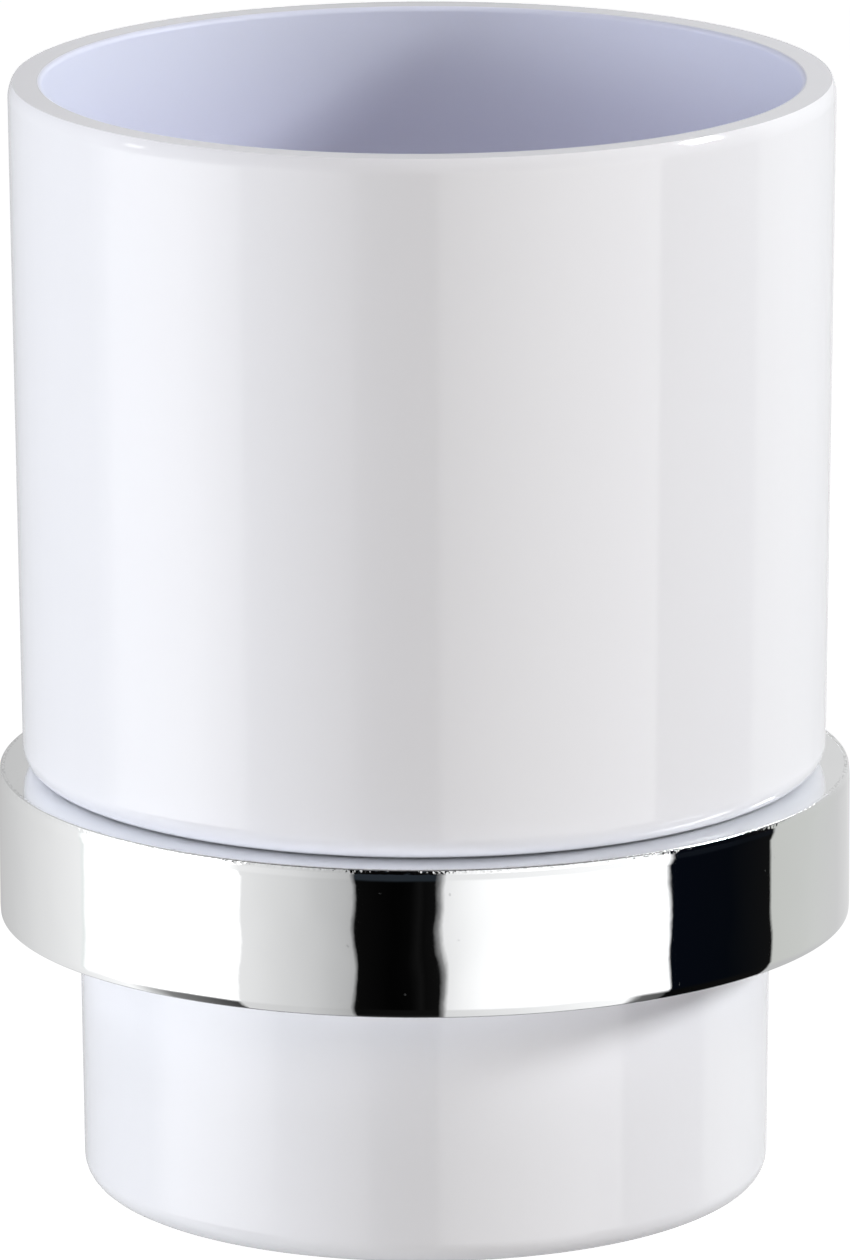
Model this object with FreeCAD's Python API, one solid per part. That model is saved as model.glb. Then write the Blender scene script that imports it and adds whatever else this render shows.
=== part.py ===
import FreeCAD, Part
import math
import os

# Bathroom tumbler: a white stepped cup hangs by its shoulder in a flat chrome ring, which a short
# post and a round rosette hold off the wall. Millimetres, +Z up. The origin is the middle of the
# rosette on the wall's face, +Y points into the wall, and the ring is centred on z = 0.

Vector = FreeCAD.Vector

# Cup: radial steps are measured from the neck, heights from the shoulder that rests on the ring
neck_diameter = 61.3
shoulder_step = 4.7
upper_flare = 0.7
lower_taper = 0.4
upper_height = 61.3
lower_height = 37.5
cup_wall = 3.0
cup_floor = 3.5
lip_drop = 0.65
lip_inset = 0.375
lip_round = 2.6
lip_edge = 0.08
rim_inner_round = 0.5
shoulder_round = 2.2
neck_round = 0.4
foot_round = 2.2
inner_round = 2.0
foot_ring_width = 3.0
foot_recess = 0.8

# Holder ring
bore_clearance = 0.6
band_thickness = 6.25
ring_height = 13.1
ring_edge_round = 0.25

# Post between ring and rosette
post_diameter = 12.0
post_length = 15.5
post_flange_step = 3.0
post_flange_thickness = 2.5
post_flange_round = 0.8
cope_gap = 0.03

# Rosette that covers the wall bracket
rosette_front = 2.5
rosette_wall = 2.6
rosette_front_round = 3.0
rosette_back_round = 0.4
rosette_inner_round = 1.0

# Dovetail bracket on the wall: wide in front, narrow at the wall
bracket_thickness = 5.0
bracket_front_room = 3.5
bracket_clearance = 0.5
bracket_dovetail = 1.6
bracket_head_room = 1.5
bracket_edge_round = 0.3

# M5 screws that hold ring, post and rosette together and end near the post's middle
joint_screw_diameter = 5.0
joint_screw_tip_gap = 3.0
ring_screw_head_diameter = 9.2
ring_screw_head_height = 2.4
post_screw_head_diameter = 9.0
post_screw_head_height = 2.7
post_screw_head_round = 1.2
joint_socket_flats = 3.0
joint_socket_depth = 1.4

# Split washer under the post screw's head
washer_diameter = 9.2
washer_thickness = 1.2
washer_split = 0.8

# Hex-socket grub screw in the rosette's underside
grub_diameter = 4.0
grub_tip_diameter = 2.2
grub_tip_length = 0.7
grub_recess = 0.3
grub_socket_flats = 2.0
grub_socket_depth = 1.6

# Pair of countersunk screws in the wall
wall_screw_spacing = 30.0
wall_screw_thread_diameter = 4.0
wall_screw_shank_diameter = 3.5
wall_screw_head_diameter = 8.0
wall_screw_head_height = 2.2
wall_screw_edge_margin = 2.3
wall_screw_thread_length = 20.0
wall_screw_tip_length = 5.0
wall_screw_cross_width = 1.0
wall_screw_cross_span = 4.0
wall_screw_cross_depth = 1.2

# Clearances
thread_gap = 0.05
hole_gap = 0.25
head_recess = 0.2
seat_gap = 0.03
overrun = 2.0
join_tolerance = 1e-6

# Largest part of an outline's side that one corner's arc may take up
corner_reach_share = 0.94

# Radii, built up from the cup's neck and from the wall screws
neck_radius = neck_diameter / 2
bore_radius = neck_radius + bore_clearance
ring_radius = bore_radius + band_thickness
joint_screw_radius = joint_screw_diameter / 2
bracket_back_radius = (wall_screw_spacing + wall_screw_head_diameter) / 2 + wall_screw_edge_margin
bracket_front_radius = bracket_back_radius + bracket_dovetail
rosette_inner_radius = bracket_front_radius + bracket_clearance
rosette_radius = rosette_inner_radius + rosette_wall

# Places along Y, from the wall's face at zero out to the ring's axis
rosette_inner_face = -bracket_thickness - bracket_front_room
rosette_face = rosette_inner_face - rosette_front
post_front = rosette_face - post_length
post_middle = rosette_face - post_length / 2
ring_axis = post_front - ring_radius
ring_screw_face = ring_axis + bore_radius + head_recess
ring_screw_length = post_middle - joint_screw_tip_gap / 2 - ring_screw_face
wall_screw_face = -bracket_thickness + head_recess
grub_axis = -bracket_thickness / 2
ring_top = ring_height / 2
ring_centre = Vector(0, ring_axis, 0)

up = Vector(0, 0, 1)
sideways = Vector(1, 0, 0)
wallward = Vector(0, 1, 0)
origin = Vector()
full_turn = 360
quarter_turn = 90
hex_sides = 6


def rounded_face(corners):
    """Face in the XZ plane through (x, z, radius) corners, with a tangent arc at each radius."""
    points = [Vector(x, 0, z) for x, z, radius in corners]
    bends = []
    for here, (x, z, radius) in enumerate(corners):
        point = points[here]
        back = points[here - 1] - point
        ahead = points[(here + 1) % len(points)] - point
        half_angle = back.getAngle(ahead) / 2
        most = corner_reach_share * min(back.Length, ahead.Length)
        reach = min(radius / math.tan(half_angle), most)
        back.normalize()
        ahead.normalize()
        inwards = (back + ahead).normalize()
        arc_radius = reach * math.tan(half_angle)
        crown = point + inwards * (arc_radius / math.sin(half_angle) - arc_radius)
        bends.append((point + back * reach, crown, point + ahead * reach))
    edges = []
    for here, (start, crown, end) in enumerate(bends):
        if start.distanceToPoint(end) > join_tolerance:
            edges.append(Part.Arc(start, crown, end).toShape())
        next_start = bends[(here + 1) % len(bends)][0]
        if end.distanceToPoint(next_start) > join_tolerance:
            edges.append(Part.LineSegment(end, next_start).toShape())
    return Part.Face(Part.Wire(edges))


def turned(corners):
    """Solid of revolution about Z from (radius, height, corner radius) corners."""
    return rounded_face(corners).revolve(origin, up, full_turn)


def into_wall(shape, y=0):
    """Lay a shape built along +Z down along +Y, with its zero at y."""
    return shape.rotated(origin, sideways, -quarter_turn).translated(wallward * y)


def out_of_wall(shape, y=0):
    """Lay a shape built along +Z down along -Y, with its zero at y."""
    return shape.rotated(origin, sideways, quarter_turn).translated(wallward * y)


def hex_socket(flats, depth):
    """Hexagonal cutter that sinks from z = 0 up into a screw head, with its overrun below."""
    corner = flats / math.sqrt(3)
    angles = [math.radians(full_turn * side / hex_sides) for side in range(hex_sides + 1)]
    outline = [Vector(corner * math.cos(a), corner * math.sin(a), -overrun) for a in angles]
    return Part.Face(Part.makePolygon(outline)).extrude(up * (depth + overrun))


def tumbler():
    """Thin-walled cup: one rounded outline follows the step inside and out, with a ground lip."""
    shoulder_radius = neck_radius + shoulder_step
    rim_radius = shoulder_radius + upper_flare
    foot_radius = neck_radius - lower_taper
    rim, foot = upper_height, -lower_height
    recess_radius = foot_radius - foot_round - foot_ring_width
    cup = turned([
        (0, foot + foot_recess, 0),
        (recess_radius, foot + foot_recess, foot_recess / 2),
        (recess_radius + foot_recess, foot, foot_recess / 2),
        (foot_radius, foot, foot_round),
        (neck_radius, 0, neck_round),
        (shoulder_radius, 0, shoulder_round),
        (rim_radius, rim - lip_drop, lip_round),
        (rim_radius - lip_inset, rim, lip_edge),
        (rim_radius - cup_wall, rim, rim_inner_round),
        (shoulder_radius - cup_wall, cup_wall, inner_round),
        (neck_radius - cup_wall, cup_wall, inner_round),
        (foot_radius - cup_wall, foot + cup_floor, inner_round),
        (0, foot + cup_floor, 0),
    ])
    return cup.translated(ring_centre + up * ring_top)


def countersunk(head_radius, shank_radius, head_height, length, gap=0, mouth=0):
    """Flat-headed screw along +Z, or with a gap and a mouth the hole that takes it."""
    head, shank = head_radius + gap, shank_radius + gap
    corners = [(0, -mouth, 0), (head, -mouth, 0)]
    if mouth:
        corners.append((head, 0, 0))
    return turned(corners + [(shank, head_height, 0), (shank, length, 0), (0, length, 0)])


def ring_screw_form(length, gap=0, mouth=0):
    """The ring screw's form at its place, with its flat head just under the bore's wall."""
    form = countersunk(ring_screw_head_diameter / 2, joint_screw_radius,
                       ring_screw_head_height, length, gap, mouth)
    return into_wall(form, ring_screw_face)


def holder_ring():
    """Flat band with softened edges and a countersunk hole at the back."""
    band = turned([
        (bore_radius, -ring_top, ring_edge_round),
        (ring_radius, -ring_top, ring_edge_round),
        (ring_radius, ring_top, ring_edge_round),
        (bore_radius, ring_top, ring_edge_round),
    ]).translated(ring_centre)
    return band.cut(ring_screw_form(band_thickness + overrun, thread_gap, overrun))


def ring_screw():
    """Countersunk M5 screw through the band into the post."""
    socket = into_wall(hex_socket(joint_socket_flats, joint_socket_depth), ring_screw_face)
    return ring_screw_form(ring_screw_length).cut(socket)


def arm_post():
    """Turned post with a flange on the rosette, coped to the ring and tapped right through."""
    radius = post_diameter / 2
    flange_radius = radius + post_flange_step
    flange_start = post_length - post_flange_thickness
    bar = into_wall(turned([
        (0, -radius, 0),
        (radius, -radius, 0),
        (radius, flange_start, 0),
        (flange_radius, flange_start, post_flange_round),
        (flange_radius, post_length, 0),
        (0, post_length, 0),
    ]), post_front)
    cope = Part.makeCylinder(ring_radius + cope_gap, 2 * post_diameter)
    cope.translate(ring_centre - up * post_diameter)
    tapped = Part.makeCylinder(joint_screw_radius + thread_gap, post_length + overrun)
    return bar.cut([cope, into_wall(tapped, post_front - overrun / 2)])


def rosette():
    """Round cover with a hole for the post screw and a tapped hole underneath."""
    hole_radius = joint_screw_radius + hole_gap
    shell = into_wall(turned([
        (hole_radius, rosette_face, 0),
        (rosette_radius, rosette_face, rosette_front_round),
        (rosette_radius, 0, rosette_back_round),
        (rosette_inner_radius, 0, rosette_back_round),
        (rosette_inner_radius, rosette_inner_face, rosette_inner_round),
        (hole_radius, rosette_inner_face, 0),
    ]))
    tapped = Part.makeCylinder(grub_diameter / 2 + thread_gap, rosette_wall + 2 * overrun)
    tapped.translate(Vector(0, grub_axis, -rosette_radius - overrun))
    return shell.cut(tapped)


def lock_washer():
    """Split spring washer between the rosette and the post screw's head."""
    inner = joint_screw_radius + hole_gap
    outer = washer_diameter / 2
    ring = turned([(inner, 0, 0), (outer, 0, 0), (outer, washer_thickness, 0),
                   (inner, washer_thickness, 0)])
    split = Part.makeBox(washer_split, washer_diameter, washer_thickness + 2 * overrun)
    split.translate(Vector(-washer_split / 2, 0, -overrun))
    return into_wall(ring.cut(split), rosette_inner_face)


def post_screw():
    """Pan-head M5 screw from inside the rosette into the post."""
    head = post_screw_head_diameter / 2
    under_head = post_screw_head_height
    face = rosette_inner_face + washer_thickness + under_head
    tip = face - post_middle - joint_screw_tip_gap / 2
    screw = turned([
        (0, 0, 0),
        (head, 0, post_screw_head_round),
        (head, under_head, 0),
        (joint_screw_radius, under_head, 0),
        (joint_screw_radius, tip, 0),
        (0, tip, 0),
    ])
    return out_of_wall(screw.cut(hex_socket(joint_socket_flats, joint_socket_depth)), face)


def wall_screw_form(gap=0, mouth=0):
    """The wall screw's head and plain shank down to the wall's face, at the origin's height."""
    form = countersunk(wall_screw_head_diameter / 2, wall_screw_shank_diameter / 2,
                       wall_screw_head_height, -wall_screw_face, gap, mouth)
    return into_wall(form, wall_screw_face)


def at_wall_screws(shape):
    """Copies of a shape at the two wall screws' places."""
    return [shape.translated(sideways * wall_screw_spacing * side / 2) for side in (-1, 1)]


def wall_bracket():
    """Dovetail disc with two countersunk holes and a bore that clears the post screw's head."""
    bore = post_screw_head_diameter / 2 + bracket_head_room
    disc = into_wall(turned([
        (bore, -bracket_thickness, 0),
        (bracket_front_radius, -bracket_thickness, bracket_edge_round),
        (bracket_back_radius, 0, 0),
        (bore, 0, 0),
    ]))
    bored = Part.makeCylinder(wall_screw_thread_diameter / 2 + hole_gap,
                              bracket_thickness + overrun)
    hole = wall_screw_form(thread_gap, overrun).fuse(into_wall(bored, -bracket_thickness))
    return disc.cut(at_wall_screws(hole))


def wall_screws():
    """Two countersunk screws whose threads stand out behind the wall's face."""
    thread = wall_screw_thread_diameter / 2
    end = wall_screw_thread_length
    tail = into_wall(turned([(0, 0, 0), (thread, 0, 0), (thread, end, 0),
                             (0, end + wall_screw_tip_length, 0)]))
    bar = Part.makeBox(wall_screw_cross_span, wall_screw_cross_depth, wall_screw_cross_width)
    bar.translate(Vector(-wall_screw_cross_span / 2, wall_screw_face, -wall_screw_cross_width / 2))
    cross = bar.fuse(bar.rotated(origin, wallward, quarter_turn))
    screw = wall_screw_form().fuse(tail).cut(cross).removeSplitter()
    return Part.makeCompound(at_wall_screws(screw))


def grub_screw():
    """Set screw through the rosette's underside, its point on the bracket's bevel."""
    radius = grub_diameter / 2
    tip = grub_tip_diameter / 2
    widest_share = (tip - grub_axis) / bracket_thickness
    bevel = bracket_back_radius + bracket_dovetail * widest_share
    length = rosette_radius - grub_recess - bevel - seat_gap
    screw = turned([
        (0, 0, 0),
        (radius, 0, 0),
        (radius, length - grub_tip_length, 0),
        (tip, length, 0),
        (0, length, 0),
    ]).cut(hex_socket(grub_socket_flats, grub_socket_depth))
    return screw.translated(Vector(0, grub_axis, grub_recess - rosette_radius))


pieces = {
    "tumbler": tumbler(),
    "holder_ring": holder_ring(),
    "ring_screw": ring_screw(),
    "arm_post": arm_post(),
    "rosette": rosette(),
    "lock_washer": lock_washer(),
    "post_screw": post_screw(),
    "wall_bracket": wall_bracket(),
    "grub_screw": grub_screw(),
    "wall_screws": wall_screws(),
}

os.makedirs("parts", exist_ok=True)
for name, shape in pieces.items():
    shape.exportStep(f"parts/{name}.step")
    print(name, len(shape.Solids), "solids", round(shape.Volume, 1), "mm3", shape.isValid())
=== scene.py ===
import math

import bpy
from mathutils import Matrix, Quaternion, Vector


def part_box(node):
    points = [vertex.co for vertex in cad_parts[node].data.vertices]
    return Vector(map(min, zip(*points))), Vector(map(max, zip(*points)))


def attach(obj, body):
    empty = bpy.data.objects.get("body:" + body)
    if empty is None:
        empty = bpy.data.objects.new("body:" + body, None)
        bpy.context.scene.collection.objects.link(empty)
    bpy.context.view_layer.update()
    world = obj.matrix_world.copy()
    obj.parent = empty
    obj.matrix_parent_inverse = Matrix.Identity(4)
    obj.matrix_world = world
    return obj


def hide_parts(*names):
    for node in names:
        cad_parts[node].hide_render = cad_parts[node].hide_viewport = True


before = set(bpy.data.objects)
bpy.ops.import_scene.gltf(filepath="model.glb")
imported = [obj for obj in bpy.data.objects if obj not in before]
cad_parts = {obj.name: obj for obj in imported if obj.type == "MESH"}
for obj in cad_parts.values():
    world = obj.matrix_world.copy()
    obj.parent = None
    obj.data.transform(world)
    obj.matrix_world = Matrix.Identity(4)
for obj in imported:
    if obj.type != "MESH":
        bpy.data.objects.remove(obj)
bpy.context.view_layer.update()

# Bathroom tumbler: a white glazed cup hangs by its shoulder in a polished chrome ring, which a
# short post and a round rosette hold off the wall. Metres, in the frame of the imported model: the
# origin is the middle of the rosette on the wall's face, +Y points into the wall and +Z up.

mm = 0.001

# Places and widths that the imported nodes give
cup_low, cup_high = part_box("tumbler")
ring_low, ring_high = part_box("holder_ring")
post_low, post_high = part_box("arm_post")
rosette_low, rosette_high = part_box("rosette")
grub_low, grub_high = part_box("grub_screw")
ring_screw_low, ring_screw_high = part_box("ring_screw")
wall_screws_low, wall_screws_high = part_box("wall_screws")

base, rim = cup_low.z, cup_high.z
seat = ring_high.z
cup_axis = Vector((0, (ring_low.y + ring_high.y) / 2, 0))
rim_radius = (cup_high.x - cup_low.x) / 2
ring_radius = (ring_high.x - ring_low.x) / 2
rosette_radius = (rosette_high.x - rosette_low.x) / 2
rosette_face = rosette_low.y

# Cup, as in the solids
upper_flare = 0.7 * mm
shoulder_step = 4.7 * mm
lower_taper = 0.4 * mm
cup_wall = 3.0 * mm
cup_floor = 3.5 * mm
lip_drop = 0.65 * mm
lip_inset = 0.375 * mm
lip_round = 2.6 * mm
lip_edge = 0.08 * mm
rim_inner_round = 0.5 * mm
shoulder_round = 2.2 * mm
neck_round = 0.4 * mm
foot_round = 2.2 * mm
inner_round = 2.0 * mm
foot_ring_width = 3.0 * mm
foot_recess = 0.8 * mm
shoulder_radius = rim_radius - upper_flare
neck_radius = shoulder_radius - shoulder_step
foot_radius = neck_radius - lower_taper

# Ring, post and rosette
bore_clearance = 0.6 * mm
ring_edge_round = 0.25 * mm
ring_top_round = 0.16 * mm
ring_roll_height = 1.1 * mm
ring_roll_depth = 0.1 * mm
ring_roll_round = 6.0 * mm
lower_roll_height = 0.55 * mm
lower_roll_depth = 0.045 * mm
lower_edge_round = 0.12 * mm
bore_radius = neck_radius + bore_clearance
screw_gap = 0.05 * mm
ring_screw_head_height = 2.4 * mm
ring_screw_head_radius = (ring_screw_high.x - ring_screw_low.x) / 2
joint_screw_radius = 2.5 * mm
post_radius = 6.0 * mm
post_flange_thickness = 2.5 * mm
post_flange_round = 0.8 * mm
post_neck_round = 0.6 * mm
cope_gap = 0.03 * mm
rosette_front = 2.5 * mm
rosette_wall = 2.6 * mm
rosette_front_round = 3.0 * mm
rosette_back_round = 0.4 * mm
rosette_inner_round = 1.0 * mm
rosette_hole_radius = 2.75 * mm
post_flange_radius = (post_high.x - post_low.x) / 2
grub_radius = (grub_high.x - grub_low.x) / 2

# Wall screws
screw_head_radius = 4.0 * mm
screw_head_height = 2.2 * mm
screw_shank_radius = 1.75 * mm
screw_core_radius = 1.4 * mm
screw_core_step = 0.5 * mm
screw_thread_radius = 2.0 * mm
screw_thread_length = 20.0 * mm
screw_ridge = 0.5 * mm
screw_pitch = 1.8 * mm
screw_turn_steps = 36
screw_cross_span = 4.0 * mm
screw_cross_width = 1.0 * mm
screw_cross_depth = 1.2 * mm

# Steps of the turned pieces
lathe_steps = 288
small_lathe_steps = 96
round_segments = 8
overrun = 2.0 * mm
weld = 0.001 * mm
sharp_angle = math.radians(35)


class Wire:
    """An output socket in a node tree: sums on it add Math nodes, and node() adds any other."""

    def __init__(self, tree, socket=None):
        self.tree = tree
        self.socket = socket

    def feed(self, socket, value):
        """Link a wire to a node's input, or write a plain value there."""
        if isinstance(value, Wire):
            self.tree.links.new(value.socket, socket)
        else:
            socket.default_value = value

    def node(self, kind, settings=None, inputs=None, output=0):
        """Add a node of a kind with its settings, feed its inputs and return one of its outputs."""
        made = self.tree.nodes.new("ShaderNode" + kind)
        for key, value in (settings or {}).items():
            if key == "stops":
                set_stops(made.color_ramp, value)
            else:
                setattr(made, key, value)
        for key, value in (inputs or {}).items():
            self.feed(made.inputs[key], value)
        return Wire(self.tree, made.outputs[output])

    def beside(self, name):
        """The output of another name on the node that this one comes from."""
        return Wire(self.tree, self.socket.node.outputs[name])

    def maths(self, operation, first, second=0.0):
        """A Math node on two values."""
        return self.node("Math", {"operation": operation}, {0: first, 1: second})

    def __add__(self, other):
        return self.maths("ADD", self, other)

    def __radd__(self, other):
        return self.maths("ADD", other, self)

    def __sub__(self, other):
        return self.maths("SUBTRACT", self, other)

    def __rsub__(self, other):
        return self.maths("SUBTRACT", other, self)

    def __mul__(self, other):
        return self.maths("MULTIPLY", self, other)

    def __rmul__(self, other):
        return self.maths("MULTIPLY", other, self)

    def __lt__(self, other):
        return self.maths("LESS_THAN", self, other)

    def __gt__(self, other):
        return self.maths("GREATER_THAN", self, other)


def set_stops(ramp, stops):
    """Give a colour ramp stops of a place and a grey or a colour, in place of its own."""
    while len(ramp.elements) > 1:
        ramp.elements.remove(ramp.elements[-1])
    for index, (place, light) in enumerate(stops):
        stop = ramp.elements[0] if index == 0 else ramp.elements.new(place)
        stop.position = place
        stop.color = (*light, 1) if isinstance(light, tuple) else (light, light, light, 1)


def new_finish(name):
    """A material with its shader, and a wire of its Object coordinates."""
    material = bpy.data.materials.new(name)
    material.use_nodes = True
    tree = material.node_tree
    return material, tree.nodes["Principled BSDF"], Wire(tree).node("TexCoord", output="Object")


def noise(place, scale, detail=2.0):
    """Fractal noise between 0 and 1 over a piece."""
    return place.node("TexNoise", None, {"Vector": place, "Scale": scale, "Detail": detail})


def tint(place, factor, dark, light):
    """Colour between two colours by a factor."""
    return place.node("Mix", {"data_type": "RGBA"}, {"Factor": factor, 6: dark, 7: light}, 2)


def fade(value, start, end):
    """Smooth step of a value, 0 at its start and 1 at its end."""
    return value.node("MapRange", {"interpolation_type": "SMOOTHSTEP"},
                      {"Value": value, "From Min": start, "From Max": end})


def bump(place, height, distance):
    """Normal bent by a height."""
    return place.node("Bump", None, {"Strength": 1.0, "Distance": distance, "Height": height})


def split_place(place):
    """The X, Y and Z of a place or a direction."""
    first = place.node("SeparateXYZ", None, {0: place}, "X")
    return [first.beside(name) for name in "XYZ"]


def from_axis(place, axis):
    """Distance from an upright axis, and the height."""
    x, y, z = split_place(place)
    depth = y - axis.y
    return place.maths("SQRT", x * x + depth * depth), z


def white_glaze():
    """Gloss white glaze with a cool tint inside the cup, painted light just below the rim and painted
    shade deeper down, and a bare, ground foot ring.
    """
    cloud_scale = 45.0
    sheen_scale = 160.0
    peel_scale = 260.0
    grit_scale = 4000.0
    peel_depth = 0.004 * mm
    gloss = 0.05
    gloss_spread = 0.03
    inside_haze = 0.45
    foot_haze = 0.55
    lip_width_share = 0.82
    bore_width_share = 0.92
    # Depth below the rim over which the inside's painted light gives way to painted shade
    painted_shade_depth = 4 * cup_wall
    material, shader, place = new_finish("white_glaze")
    radius, height = from_axis(place, cup_axis)
    upper = height > seat + cup_wall / 2
    inside_upper = upper * fade(radius, rim_radius - lip_width_share * cup_wall,
                                rim_radius - bore_width_share * cup_wall)
    above_floor = height > base + cup_floor / 2
    inside_lower = above_floor * (radius < neck_radius - cup_wall / 2)
    inside = place.maths("MAXIMUM", inside_upper, inside_lower)
    cloud = noise(place, cloud_scale, 3.0)
    outer = tint(place, cloud, (0.856, 0.857, 0.860, 1), (0.874, 0.875, 0.878, 1))
    # Inside colours: a cool tint, kept darker than the outer glaze as painted shade; lighter just below
    # the rim as painted light where light falls over it, darker further down as painted shade
    painted_light_near_rim = tint(place, cloud, (0.752, 0.778, 0.876, 1), (0.772, 0.798, 0.894, 1))
    painted_shade_deep_down = tint(place, cloud, (0.680, 0.694, 0.812, 1), (0.700, 0.714, 0.830, 1))
    inner = tint(place, fade(height, rim - cup_wall / 3, rim - painted_shade_depth), painted_light_near_rim, painted_shade_deep_down)
    glazed = tint(place, inside, outer, inner)
    foot = height < base + foot_recess / 4
    grit = noise(place, grit_scale)
    bare = tint(place, grit, (0.62, 0.60, 0.57, 1), (0.72, 0.70, 0.67, 1))
    place.feed(shader.inputs["Base Color"], tint(place, foot, glazed, bare))
    place.feed(shader.inputs["Roughness"], gloss + gloss_spread * noise(place, sheen_scale)
               + inside_haze * inside + foot_haze * foot)
    peel = noise(place, peel_scale, 1.0) + 0.5 * foot * grit
    place.feed(shader.inputs["Normal"], bump(place, peel, peel_depth))
    shader.inputs["IOR"].default_value = 1.5
    return material


def chrome():
    """Polished chrome plate with the ripples of a buffed casting and a gritty ring edge."""
    cloud_scale = 90.0
    ripple_scale = 250.0
    haze_scale = 600.0
    pore_scale = 1500.0
    speck_scale = 1700.0
    grit_scale = 2400.0
    relief = 0.08 * mm
    plain_ripple = 0.15
    band_ripple = 0.4
    pore_share = 0.01
    grit_share = 0.8
    speck_start = 0.84
    speck_end = 0.88
    polish = 0.008
    haze = 0.03
    grit_haze = 0.12
    speck_haze = 0.14
    material, shader, place = new_finish("chrome")
    radius, height = from_axis(place, cup_axis)
    outer = (radius > ring_radius - 2 * ring_edge_round) * (radius < ring_radius + weld)
    edge = outer * fade(height, seat - 2 * ring_edge_round, seat)
    ripple = (plain_ripple + band_ripple * outer) * noise(place, ripple_scale, 0.2)
    grit = edge * noise(place, grit_scale, 1.0)
    specks = fade(noise(place, speck_scale, 0.0), speck_start, speck_end)
    pores = noise(place, pore_scale, 1.0)
    cloud = noise(place, cloud_scale)
    place.feed(shader.inputs["Base Color"],
               tint(place, cloud, (0.80, 0.81, 0.815, 1), (0.85, 0.855, 0.86, 1)))
    place.feed(shader.inputs["Roughness"], polish + haze * noise(place, haze_scale)
               + grit_haze * grit + speck_haze * specks)
    waves = ripple + pore_share * pores + grit_share * grit
    place.feed(shader.inputs["Normal"], bump(place, waves, relief))
    shader.inputs["Metallic"].default_value = 1.0
    return material


def stainless():
    """Turned stainless steel with fine tool marks."""
    mark_scale = 5200.0
    mark_depth = 0.006 * mm
    polish = 0.22
    haze = 0.16
    material, shader, place = new_finish("stainless")
    marks = noise(place, mark_scale)
    place.feed(shader.inputs["Base Color"],
               tint(place, marks, (0.54, 0.54, 0.53, 1), (0.68, 0.68, 0.67, 1)))
    place.feed(shader.inputs["Roughness"], polish + haze * marks)
    place.feed(shader.inputs["Normal"], bump(place, marks, mark_depth))
    shader.inputs["Metallic"].default_value = 1.0
    return material


def zinc():
    """Blue-white zinc plate with cloudy grain."""
    cloud_scale = 330.0
    grain_scale = 1400.0
    grain_depth = 0.012 * mm
    polish = 0.30
    haze = 0.22
    material, shader, place = new_finish("zinc")
    cloud = noise(place, cloud_scale, 4.0)
    grain = place.node("TexVoronoi", None, {"Vector": place, "Scale": grain_scale}, "Distance")
    place.feed(shader.inputs["Base Color"],
               tint(place, cloud, (0.46, 0.49, 0.54, 1), (0.66, 0.68, 0.69, 1)))
    place.feed(shader.inputs["Roughness"], polish + haze * cloud)
    place.feed(shader.inputs["Normal"], bump(place, grain + cloud, grain_depth))
    shader.inputs["Metallic"].default_value = 1.0
    return material


def select_where(piece, test):
    """Go into edit mode with just those points selected whose places pass a test."""
    bpy.ops.object.mode_set(mode="EDIT")
    bpy.ops.mesh.select_mode(type="VERT")
    bpy.ops.mesh.select_all(action="DESELECT")
    bpy.ops.object.mode_set(mode="OBJECT")
    for point in piece.data.vertices:
        point.select = test(point.co)
    bpy.ops.object.mode_set(mode="EDIT")


def lathe(name, corners, centre, along, steps, closed=False):
    """Turn (radius, height, rounding) corners about an axis: drawn, rounded, then spun."""
    spots = [centre + Vector((radius, 0, 0)) + along * height for radius, height, _ in corners]
    bpy.ops.object.select_all(action="DESELECT")
    bpy.ops.mesh.primitive_plane_add(size=overrun, location=spots[0])
    piece = bpy.context.object
    piece.name = piece.data.name = name
    bpy.ops.object.transform_apply(location=True, rotation=False, scale=False)
    bpy.ops.object.mode_set(mode="EDIT")
    bpy.ops.mesh.merge(type="CENTER")
    for here, there in zip(spots, spots[1:]):
        bpy.ops.mesh.extrude_region_move(TRANSFORM_OT_translate={"value": there - here})
    if closed:
        select_where(piece, lambda co: min((co - spots[0]).length, (co - spots[-1]).length) < weld)
        bpy.ops.mesh.edge_face_add()
    for here, (_, _, rounding) in enumerate(corners):
        if rounding:
            spot = spots[here]
            back = spots[here - 1] - spot
            ahead = spots[(here + 1) % len(spots)] - spot
            reach = rounding / math.tan(back.angle(ahead) / 2)
            select_where(piece, lambda co: (co - spot).length < weld)
            bpy.ops.mesh.bevel(offset=reach, segments=round_segments, affect="VERTICES")
    bpy.ops.mesh.select_all(action="SELECT")
    bpy.ops.mesh.spin(steps=steps, angle=math.tau, center=centre, axis=along)
    bpy.ops.mesh.select_all(action="SELECT")
    bpy.ops.mesh.remove_doubles(threshold=weld)
    bpy.ops.mesh.normals_make_consistent(inside=False)
    bpy.ops.object.mode_set(mode="OBJECT")
    return piece


def make_active(piece):
    """Select one piece alone, for the operators that follow."""
    bpy.ops.object.select_all(action="DESELECT")
    piece.select_set(True)
    bpy.context.view_layer.objects.active = piece


def apply_modifier(piece, kind, **settings):
    """Add a modifier with its settings and apply it."""
    make_active(piece)
    modifier = piece.modifiers.new(kind.lower(), kind)
    for key, value in settings.items():
        setattr(modifier, key, value)
    bpy.ops.object.modifier_apply(modifier=modifier.name)


def cut(piece, cutter, operation="DIFFERENCE"):
    """Cut one piece with another, or join them to one solid, and drop the second."""
    apply_modifier(piece, "BOOLEAN", object=cutter, operation=operation, solver="EXACT")
    bpy.data.objects.remove(cutter)


def smooth(piece):
    """Smooth shading that keeps flats flat and real edges sharp."""
    make_active(piece)
    bpy.ops.object.shade_smooth_by_angle(angle=sharp_angle)
    apply_modifier(piece, "WEIGHTED_NORMAL", mode="FACE_AREA", weight=100, keep_sharp=True)


def place_piece(piece, finish, body, slot, *nodes):
    """Give a piece its finish, and put it on its body in place of its nodes."""
    piece.data.materials.clear()
    piece.data.materials.append(finish)
    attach(piece, body)
    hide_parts(*nodes)


up = Vector((0, 0, 1))
wallward = Vector((0, 1, 0))


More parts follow.
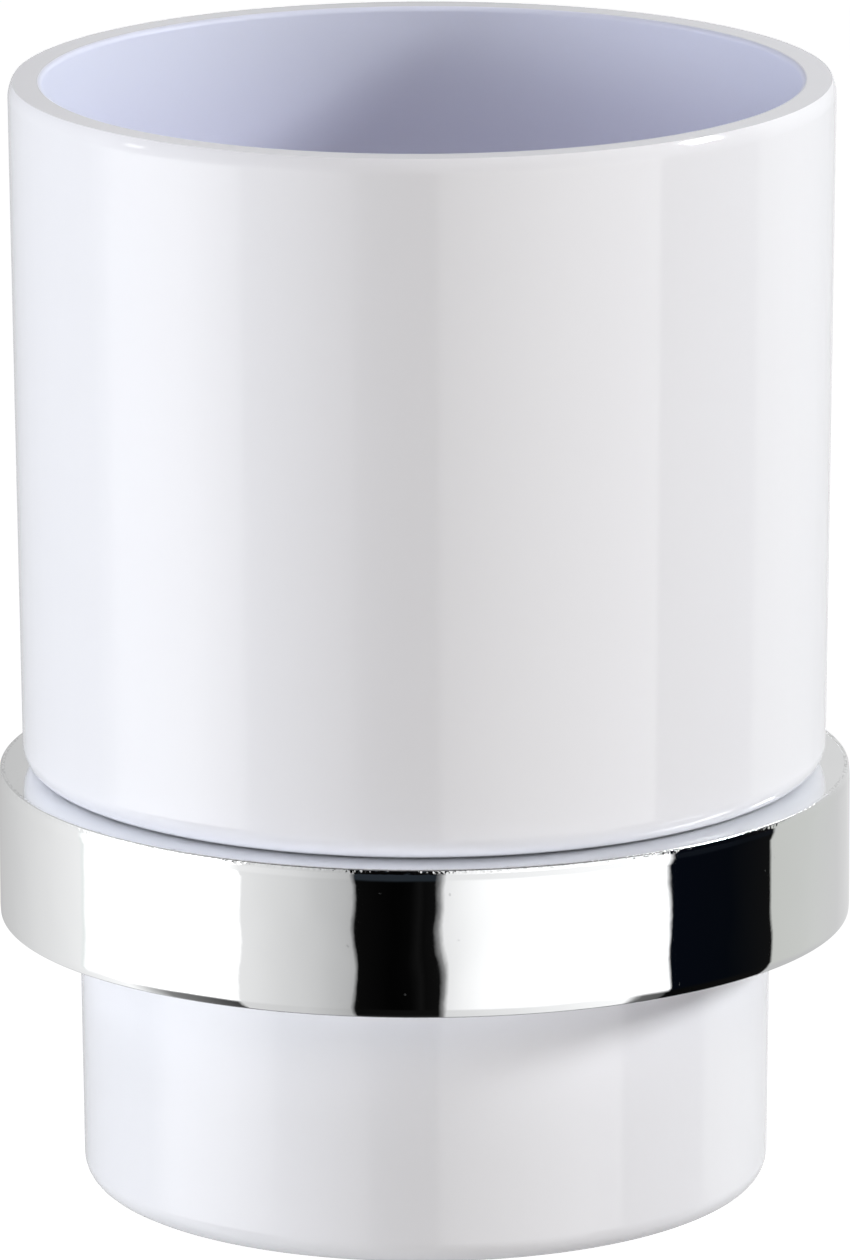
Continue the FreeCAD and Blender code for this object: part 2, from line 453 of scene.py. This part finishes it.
def make_cup():
    """The cup as one thin shell: foot ring, step, wall, rim and the inside."""
    recess_radius = foot_radius - foot_round - foot_ring_width
    piece = lathe("tumbler_glazed", [
        (0, base + foot_recess, 0),
        (recess_radius, base + foot_recess, foot_recess / 2),
        (recess_radius + foot_recess, base, foot_recess / 2),
        (foot_radius, base, foot_round),
        (neck_radius, seat, neck_round),
        (shoulder_radius, seat, shoulder_round),
        (rim_radius, rim - lip_drop, lip_round),
        (rim_radius - lip_inset, rim, lip_edge),
        (rim_radius - cup_wall, rim, rim_inner_round),
        (shoulder_radius - cup_wall, seat + cup_wall, inner_round),
        (neck_radius - cup_wall, seat + cup_wall, inner_round),
        (foot_radius - cup_wall, base + cup_floor, inner_round),
        (0, base + cup_floor, 0),
    ], cup_axis, up, lathe_steps)
    smooth(piece)
    return piece


def make_ring():
    """The flat band, with the countersunk hole for its screw at the back."""
    piece = lathe("ring_band", [
        (bore_radius, ring_low.z, ring_edge_round),
        (ring_radius - lower_roll_depth, ring_low.z, lower_edge_round),
        (ring_radius, ring_low.z + lower_roll_height, ring_roll_round),
        (ring_radius, ring_high.z - ring_roll_height, ring_roll_round),
        (ring_radius - ring_roll_depth, ring_high.z, ring_top_round),
        (bore_radius, ring_high.z, ring_edge_round),
    ], cup_axis, up, lathe_steps, closed=True)
    head = ring_screw_head_radius + screw_gap
    shank = joint_screw_radius + screw_gap
    hole = lathe("ring_hole", [
        (0, -overrun, 0),
        (head, -overrun, 0),
        (head, 0, 0),
        (shank, ring_screw_head_height, 0),
        (shank, ring_radius - bore_radius + overrun, 0),
        (0, ring_radius - bore_radius + overrun, 0),
    ], Vector((0, ring_screw_low.y, 0)), wallward, small_lathe_steps)
    cut(piece, hole)
    smooth(piece)
    return piece


def make_post():
    """The turned post with its flange, coped to the ring and tapped right through."""
    length = rosette_face - post_low.y
    piece = lathe("post_turned", [
        (0, 0, 0),
        (post_radius, 0, 0),
        (post_radius, length - post_flange_thickness, post_neck_round),
        (post_flange_radius, length - post_flange_thickness, post_flange_round),
        (post_flange_radius, length, 0),
        (0, length, 0),
    ], Vector((0, post_low.y, 0)), wallward, small_lathe_steps)
    cope = lathe("post_cope", [
        (0, -post_radius - overrun, 0),
        (ring_radius + cope_gap, -post_radius - overrun, 0),
        (ring_radius + cope_gap, post_radius + overrun, 0),
        (0, post_radius + overrun, 0),
    ], cup_axis, up, lathe_steps)
    cut(piece, cope)
    bore = joint_screw_radius + screw_gap
    tapped = lathe("post_bore", [
        (0, -overrun, 0),
        (bore, -overrun, 0),
        (bore, length + overrun, 0),
        (0, length + overrun, 0),
    ], Vector((0, post_low.y, 0)), wallward, small_lathe_steps)
    cut(piece, tapped)
    smooth(piece)
    return piece


def make_rosette():
    """The round cover, hollow behind, with the tapped hole of its set screw underneath."""
    depth = rosette_high.y - rosette_face
    inner = rosette_radius - rosette_wall
    piece = lathe("rosette_cover", [
        (rosette_hole_radius, 0, 0),
        (rosette_radius, 0, rosette_front_round),
        (rosette_radius, depth, rosette_back_round),
        (inner, depth, rosette_back_round),
        (inner, rosette_front, rosette_inner_round),
        (rosette_hole_radius, rosette_front, 0),
    ], Vector((0, rosette_face, 0)), wallward, lathe_steps, closed=True)
    grub_middle = Vector((0, (grub_low.y + grub_high.y) / 2, rosette_low.z - overrun))
    tapped = lathe("rosette_bore", [
        (0, 0, 0),
        (grub_radius + screw_gap, 0, 0),
        (grub_radius + screw_gap, rosette_wall + 2 * overrun, 0),
        (0, rosette_wall + 2 * overrun, 0),
    ], grub_middle, up, small_lathe_steps)
    cut(piece, tapped)
    smooth(piece)
    return piece


def wind_thread():
    """The ridge of a wall screw's thread, wound from the wall's face and closed at both ends."""
    bpy.ops.object.select_all(action="DESELECT")
    bpy.ops.mesh.primitive_circle_add(vertices=3, radius=screw_ridge, rotation=(0, 0, -math.pi / 2),
                                      location=(screw_thread_radius - screw_ridge, screw_pitch / 2, 0))
    ridge = bpy.context.object
    bpy.ops.object.transform_apply(location=True, rotation=True, scale=False)
    turns = int(screw_thread_length / screw_pitch)
    apply_modifier(ridge, "SCREW", axis="Y", angle=math.tau, screw_offset=screw_pitch,
                   iterations=turns, steps=screw_turn_steps, render_steps=screw_turn_steps)
    bpy.ops.object.mode_set(mode="EDIT")
    bpy.ops.mesh.select_mode(type="EDGE")
    bpy.ops.mesh.select_all(action="DESELECT")
    bpy.ops.mesh.select_non_manifold()
    bpy.ops.mesh.fill_holes(sides=3)
    bpy.ops.mesh.select_all(action="SELECT")
    bpy.ops.mesh.normals_make_consistent(inside=False)
    bpy.ops.object.mode_set(mode="OBJECT")
    return ridge


def cut_cross(piece, face):
    """Cut a cross recess into a screw's head, whose flat face lies at that depth on the Y axis."""
    long, short = screw_cross_span, screw_cross_width
    for span_x, span_z in ((long, short), (short, long)):
        bpy.ops.object.select_all(action="DESELECT")
        bpy.ops.mesh.primitive_cube_add(size=1, location=(0, face, 0),
                                        scale=(span_x, 2 * screw_cross_depth, span_z))
        bar = bpy.context.object
        bpy.ops.object.transform_apply(location=True, rotation=False, scale=True)
        cut(piece, bar)


def make_wall_screws():
    """Two countersunk wall screws: turned core, wound thread and a cross recess, then a copy."""
    face = wall_screws_low.y
    piece = lathe("wall_screws_threaded", [
        (0, 0, 0),
        (screw_head_radius, 0, 0),
        (screw_shank_radius, screw_head_height, 0),
        (screw_shank_radius, -face, 0),
        (screw_core_radius, screw_core_step - face, 0),
        (screw_core_radius, screw_thread_length - face, 0),
        (0, wall_screws_high.y - face, 0),
    ], Vector((0, face, 0)), wallward, small_lathe_steps)
    cut(piece, wind_thread(), "UNION")
    cut_cross(piece, face)
    other = piece.copy()
    other.data = piece.data.copy()
    bpy.context.scene.collection.objects.link(other)
    spread = wall_screws_high.x - screw_head_radius
    for screw, side in ((piece, -1), (other, 1)):
        make_active(screw)
        screw.location.x = side * spread
        bpy.ops.object.transform_apply(location=True, rotation=False, scale=False)
    make_active(piece)
    other.select_set(True)
    bpy.ops.object.join()
    smooth(piece)
    return piece


def panel_ring(turn, *panels):
    """Light of upright panels at azimuths in degrees: 0 is towards the camera, right is positive."""
    stops = [(0.5 + azimuth / 360, light) for azimuth, light in panels]
    return turn.node("ValToRGB", {"stops": stops}, {0: turn})


def make_studio():
    """White to the camera, tall soft panels and dark gaps to polished metal, soft light to the rest."""
    # Where one zone fades into the next, as parts of a direction of length 1
    upper_start, upper_end = -0.18, -0.11
    lower_start, lower_end = -0.28, -0.34
    ceiling_start, ceiling_end = 0.28, 0.75
    front_ceiling_start, front_ceiling_end = -0.02, 0.10
    front_start, front_end = 0.2, -0.1
    zenith_start, zenith_end = 0.6, 0.98
    ground_start, ground_end = -0.42, -0.95
    dim_start, dim_end = 0.2, 0.9
    soft_light = 0.08
    soft_light_loss = 0.7
    world = bpy.data.worlds.new("studio")
    bpy.context.scene.world = world
    world.use_nodes = True
    tree = world.node_tree
    direction = Wire(tree).node("TexCoord", output="Generated")
    across, back, height = split_place(direction)
    turn = 0.5 + direction.maths("ARCTAN2", across, 0 - back) * (1 / math.tau)
    side_panels = panel_ring(
        turn, (-180, 0.50), (-150, 0.68), (-124, 0.87), (-106.6, 1.02), (-105.8, (0.72, 0.78, 0.76)),
        (-105, 1.3), (-100, 1.5), (-97, 2.2), (-84, 2.8), (-70, 3.0), (-60, 2.4), (-52.5, 2.0),
        (-51, 0.93), (-34, 0.74), (-19.7, 0.53), (-19.3, 0.004), (-8, 0.001), (-3, 0.002),
        (-2, 0.012), (-1, 0.003), (4.1, 0.006), (4.5, 0.93), (15, 1.2), (26, 1.35), (69.2, 1.35),
        (69.6, (0.002, 0.003, 0.006)), (90, (0.002, 0.003, 0.005)), (107.6, 0.007),
        (108.0, (0.65, 0.66, 0.63)), (131, (0.69, 0.70, 0.68)), (150, 0.68), (180, 0.80))
    upper_panels = panel_ring(
        turn, (-180, 0.48), (-179.3, 0.57), (-178.7, 0.73), (-178.1, 0.81), (-177.99, 0.79),
        (-177.95, 0.5), (-106.5, 1.0), (-105, 1.3), (-53, 1.25), (-51, 1.0), (-34, 0.8),
        (-19.7, 0.56), (-19.3, (0.024, 0.030, 0.038)), (4.1, (0.018, 0.024, 0.030)), (4.5, 0.93),
        (69.2, 1.3), (69.6, (0.006, 0.008, 0.012)), (107.6, (0.008, 0.010, 0.014)), (108.0, 0.66),
        (178, 0.81), (178.7, 0.70), (179.3, 0.57), (180, 0.48))
    lower_panels = panel_ring(
        turn, (-180, 0.5), (-107, 1.0), (-88, 1.2), (-75, 0.25), (-52, 0.06), (-51, 0.8), (-34, 0.7),
        (-19.7, 0.5), (-19.3, 0.004), (4.1, 0.006), (4.5, 0.8), (58, 1.2), (61, 0.15), (68.5, 0.1),
        (68.9, 0.003), (107.6, 0.007), (108.0, 0.6), (180, 0.7))
    ceiling = panel_ring(
        turn, (-180, 0.4), (-80, 0.7), (-50, 0.12), (30, 0.10), (70, 0.3), (110, 0.4), (180, 0.4))
    ceiling = tint(direction, fade(height, zenith_start, zenith_end), ceiling, (0.45, 0.45, 0.46, 1))
    front_overhead = (fade(height, front_ceiling_start, front_ceiling_end)
                      * fade(back, front_start, front_end))
    overhead = direction.maths("MAXIMUM", front_overhead, fade(height, ceiling_start, ceiling_end))
    panels = tint(direction, fade(height, upper_start, upper_end), side_panels, upper_panels)
    panels = tint(direction, fade(height, lower_start, lower_end), panels, lower_panels)
    panels = tint(direction, overhead, panels, ceiling)
    panels = tint(direction, fade(height, ground_start, ground_end), panels, (0.25, 0.25, 0.26, 1))
    bounced = direction.node("VectorMath", {"operation": "MULTIPLY"},
                             {0: side_panels, 1: (1.38, 1.42, 1.64)})
    dim = 1 - soft_light_loss * fade(height, dim_start, dim_end)
    seen = direction.node("LightPath", output="Is Camera Ray")
    glossy = seen.beside("Is Glossy Ray")
    clear = seen.beside("Is Transmission Ray")
    again = seen.beside("Diffuse Depth") > 0.5
    lit = tint(direction, glossy, soft_light * dim, tint(direction, again, panels, bounced))
    white = direction.maths("MAXIMUM", seen, clear)
    direction.feed(tree.nodes["Background"].inputs["Color"],
                   tint(direction, white, lit, (1, 1, 1, 1)))


def make_floor():
    """Pale floor well below the cup, white where no shadow falls on it and clear from below."""
    drop = 0.42
    half_width = 6.0
    glow = 0.97
    bpy.ops.object.select_all(action="DESELECT")
    bpy.ops.mesh.primitive_plane_add(size=2 * half_width, location=(0, 0, base - drop))
    floor = bpy.context.object
    floor.name = "floor"
    floor.visible_glossy = False
    material, shader, place = new_finish("floor_paint")
    shader.inputs["Base Color"].default_value = (0.8, 0.8, 0.8, 1)
    shader.inputs["Roughness"].default_value = 0.9
    shader.inputs["Specular IOR Level"].default_value = 0.0
    shader.inputs["Emission Color"].default_value = (1, 1, 1, 1)
    place.feed(shader.inputs["Emission Strength"],
               glow * place.node("LightPath", output="Is Camera Ray"))
    below = place.node("NewGeometry", output="Backfacing")
    paint = Wire(place.tree, shader.outputs[0])
    one_sided = place.node("MixShader", None, {0: below, 1: paint, 2: place.node("BsdfTransparent")})
    place.feed(place.tree.nodes["Material Output"].inputs["Surface"], one_sided)
    floor.data.materials.append(material)


def make_lamp(name, azimuth, elevation, width, power, colour=(1, 1, 1), in_gloss=True, tall=1.0):
    """Soft box that looks at the cup: azimuth from the camera's side, right positive, in degrees.

    Its height is its width times tall, and in_gloss shows it in reflections.
    """
    distance = 0.9
    turn, rise = math.radians(azimuth), math.radians(elevation)
    way = Vector((math.sin(turn) * math.cos(rise), -math.cos(turn) * math.cos(rise),
                  math.sin(rise)))
    lamp = bpy.data.lights.new(name, "AREA")
    lamp.shape = "RECTANGLE"
    lamp.size = width
    lamp.size_y = width * tall
    lamp.energy = power
    lamp.color = colour
    holder = bpy.data.objects.new(name, lamp)
    holder.location = cup_axis + way * distance
    holder.rotation_mode = "QUATERNION"
    holder.rotation_quaternion = (-way).to_track_quat("-Z", "Y")
    holder.visible_camera = False
    holder.visible_glossy = in_gloss
    bpy.context.scene.collection.objects.link(holder)


def make_camera():
    """Long lens in front of the cup, a little above it and a touch off level."""
    distance = 1.0348
    rise = math.radians(13.74)
    roll = -0.0035
    aim_side = 0.1 * mm
    aim_above_seat = 11.86 * mm
    focal_length = 336.27
    film_height = 36
    target = cup_axis + Vector((aim_side, 0, seat + aim_above_seat))
    back = Vector((0, -math.cos(rise), math.sin(rise)))
    lens = bpy.data.cameras.new("camera")
    lens.sensor_fit = "VERTICAL"
    lens.sensor_height = film_height
    lens.lens = focal_length
    camera = bpy.data.objects.new("camera", lens)
    camera.location = target + back * distance
    camera.rotation_mode = "QUATERNION"
    camera.rotation_quaternion = ((-back).to_track_quat("-Z", "Y")
                                  @ Quaternion((0, 0, 1), roll))
    bpy.context.scene.collection.objects.link(camera)
    bpy.context.scene.camera = camera


glaze_finish = white_glaze()
chrome_finish = chrome()
stainless_finish = stainless()
zinc_finish = zinc()

place_piece(make_cup(), glaze_finish, "cup", "white_glaze", "tumbler")
place_piece(make_ring(), chrome_finish, "holder", "chrome", "holder_ring")
place_piece(make_post(), chrome_finish, "holder", "chrome", "arm_post")
place_piece(make_rosette(), chrome_finish, "holder", "chrome", "rosette")
place_piece(make_wall_screws(), zinc_finish, "holder", "zinc", "wall_screws")

for node in ("ring_screw", "lock_washer", "post_screw", "grub_screw"):
    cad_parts[node].material_slots[0].material = stainless_finish
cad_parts["wall_bracket"].material_slots[0].material = zinc_finish

make_studio()
make_floor()
make_lamp("key_softbox", 86, 25.5, 0.18, 5.6, (0.972, 1.0, 1.06))
make_lamp("left_softbox", -86, 20, 0.5, 3.2, (0.98, 1.0, 1.15), in_gloss=False)
make_lamp("left_low_fill", -100, -18, 0.33, 1.28, (0.95, 1.0, 1.0), in_gloss=False)
make_lamp("left_front_fill", -40, 0, 0.33, 2.33, (0.97, 1.0, 1.03), in_gloss=False)
make_lamp("right_front_fill", 40, 0, 0.33, 0.94, (1.11, 1.0, 0.93), in_gloss=False)
make_lamp("front_fill", 15, 35, 0.33, 1.2, (1.07, 1.0, 0.97), in_gloss=False)
make_lamp("high_fill", -45, 65, 0.33, 1.05, (1.03, 1.0, 1.08), in_gloss=False)
make_lamp("rear_glint", 112.5, 47.8, 0.12, 0.65, tall=3.0)
make_lamp("back_glint", 143, 36, 0.12, 0.5)
make_lamp("left_glint", -85, 14, 0.1, 0.12)
make_camera()
bpy.context.scene.view_settings.view_transform = "Standard"
